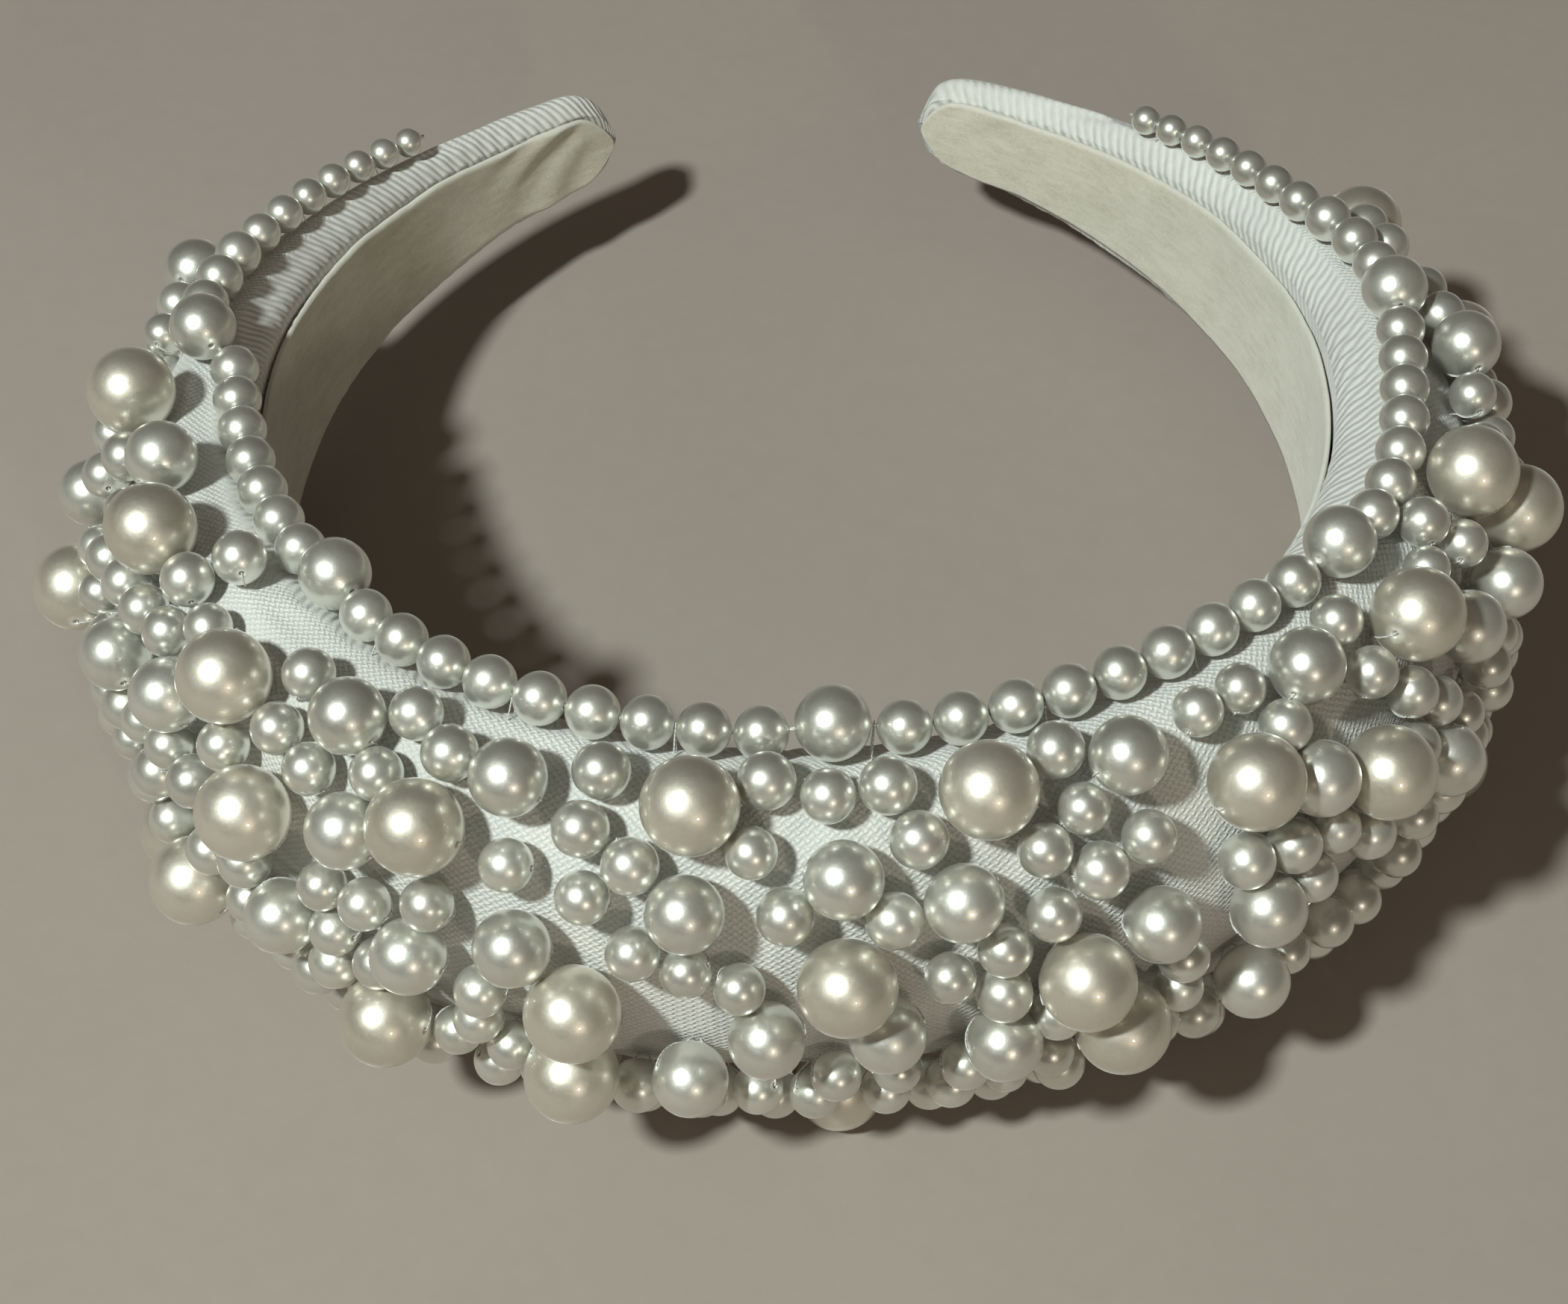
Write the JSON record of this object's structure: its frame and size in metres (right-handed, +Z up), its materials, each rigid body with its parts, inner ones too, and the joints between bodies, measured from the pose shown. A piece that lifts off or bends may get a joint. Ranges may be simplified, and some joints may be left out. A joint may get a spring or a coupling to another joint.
{
  "type": "pearl headband",
  "caption": "Padded bridal headband, a wide crown narrowing to two tips, sewn all over with round pearls and lined with suede where it sits on the head.",
  "frame": {"origin": "bottom centre of the bounding box, on the surface the headband lies on", "axes": "+X across the headband from its left side to its right side, +Y from the crown to the tips, +Z up from the surface it lies on"},
  "size_m": [0.1754, 0.1618, 0.061],
  "materials": {
    "core": "moulded, springy",
    "foam": "soft open-cell foam",
    "cover_cloth": "ivory cloth with a fine dotted weave and a slight sheen",
    "lining": "cream suede nap",
    "large_pearl": "warm pearl coating",
    "pearl": "silvery pearl coating",
    "thread": "white sewing thread"
  },
  "bodies": {
    "root": {"core_band": "core", "foam_pad": "foam", "fabric_cover": "cover_cloth", "suede_lining": "lining", "upper_edge_strand": "pearl", "large_pearl_01": "large_pearl", "large_pearl_02": "large_pearl", "large_pearl_03": "large_pearl", "large_pearl_04": "large_pearl", "large_pearl_05": "large_pearl", "large_pearl_06": "large_pearl", "large_pearl_07": "large_pearl", "large_pearl_08": "large_pearl", "large_pearl_09": "large_pearl", "large_pearl_10": "large_pearl", "large_pearl_11": "large_pearl", "large_pearl_12": "large_pearl", "large_pearl_13": "large_pearl", "large_pearl_14": "large_pearl", "large_pearl_15": "large_pearl", "large_pearl_16": "large_pearl", "large_pearl_17": "large_pearl", "large_pearl_18": "large_pearl", "large_pearl_19": "large_pearl", "large_pearl_20": "large_pearl", "large_pearl_21": "large_pearl", "large_pearl_22": "large_pearl", "large_pearl_23": "large_pearl", "large_pearl_24": "large_pearl", "large_pearl_25": "large_pearl", "medium_pearl_01": "pearl", "medium_pearl_02": "pearl", "medium_pearl_03": "pearl", "medium_pearl_04": "pearl", "medium_pearl_05": "pearl", "medium_pearl_06": "pearl", "medium_pearl_07": "pearl", "medium_pearl_08": "pearl", "medium_pearl_09": "pearl", "medium_pearl_10": "pearl", "medium_pearl_11": "pearl", "medium_pearl_12": "pearl", "medium_pearl_13": "pearl", "medium_pearl_14": "pearl", "medium_pearl_15": "pearl", "medium_pearl_16": "pearl", "medium_pearl_17": "pearl", "medium_pearl_18": "pearl", "medium_pearl_19": "pearl", "medium_pearl_20": "pearl", "medium_pearl_21": "pearl", "medium_pearl_22": "pearl", "medium_pearl_23": "pearl", "medium_pearl_24": "pearl", "medium_pearl_25": "pearl", "medium_pearl_26": "pearl", "medium_pearl_27": "pearl", "medium_pearl_28": "pearl", "medium_pearl_29": "pearl", "medium_pearl_30": "pearl"}
  },
  "joints": []
}
